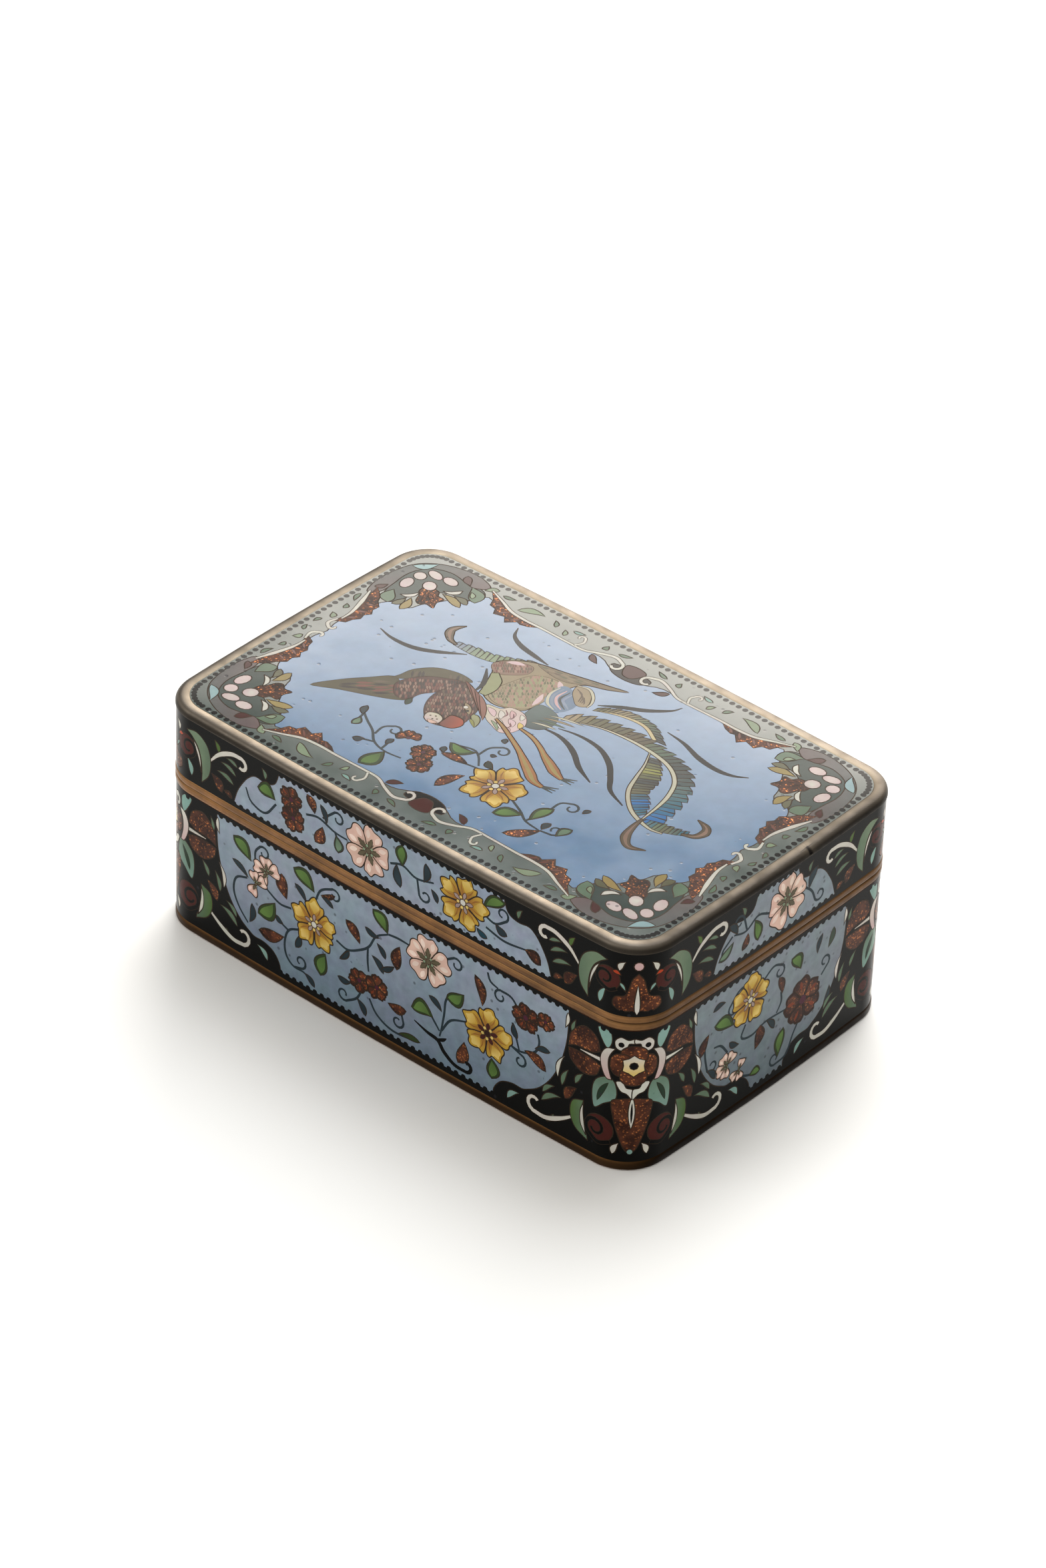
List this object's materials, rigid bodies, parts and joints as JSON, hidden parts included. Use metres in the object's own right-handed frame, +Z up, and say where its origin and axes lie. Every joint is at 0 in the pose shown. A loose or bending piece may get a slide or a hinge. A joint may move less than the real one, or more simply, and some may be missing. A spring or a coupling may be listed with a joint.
{
  "type": "cloisonne enamel box",
  "caption": "Rectangular enamelled box with rounded corners, slightly bowed sides, bronze rims and a shallow lift-off lid.",
  "frame": {"origin": "centre of the box's footprint on the plane that it stands on", "axes": "+Z up, +X along the long sides, the front long side faces -Y"},
  "size_m": [0.12, 0.077, 0.0506],
  "materials": {
    "enamel": "vitreous enamel in many colours between wires, polished flush, glossy with fine pits",
    "bronze": "aged bronze, satin",
    "dark_bronze": "dark patinated bronze, satin",
    "worn_bronze": "aged bronze, worn bright along its rounded edge"
  },
  "bodies": {
    "root": {"base_shell": "enamel", "lid_shell": "enamel", "foot_rim": "dark_bronze", "base_mouth_rim": "bronze", "lid_mouth_rim": "bronze", "lid_edge_rim": "worn_bronze"}
  },
  "joints": []
}
